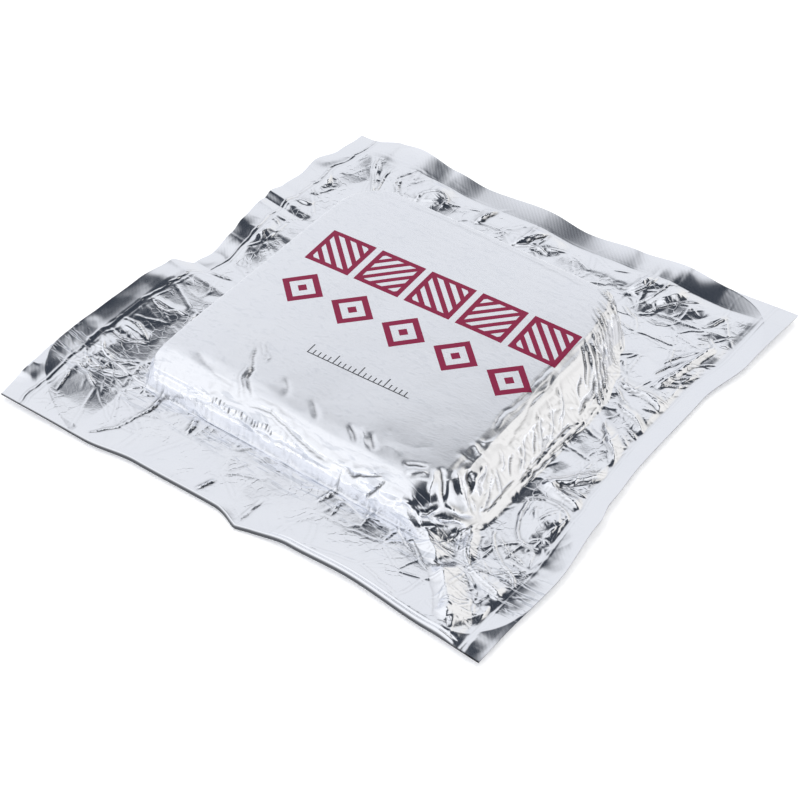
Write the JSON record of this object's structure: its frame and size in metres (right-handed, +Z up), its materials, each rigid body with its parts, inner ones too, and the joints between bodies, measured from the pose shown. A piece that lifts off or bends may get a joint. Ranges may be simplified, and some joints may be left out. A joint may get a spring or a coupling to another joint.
{
  "type": "vacuum-packed emergency blanket",
  "caption": "Folded emergency blanket in a creased, silver, vacuum-drawn film pouch: a flat square block with a wavy, heat-sealed flange all round.",
  "frame": {"origin": "on the surface that the pack rests on, under the middle of its box", "axes": "+X to the right of the printed panel, +Y to its far side, +Z up out of the printed panel"},
  "size_m": [0.4728, 0.4658, 0.04],
  "materials": {
    "film": "metallised plastic film, satin, tightly creased",
    "blanket": "pressed polyester fleece"
  },
  "bodies": {
    "root": {"front_film": "film", "back_film": "film", "folded_blanket": "blanket"}
  },
  "joints": []
}
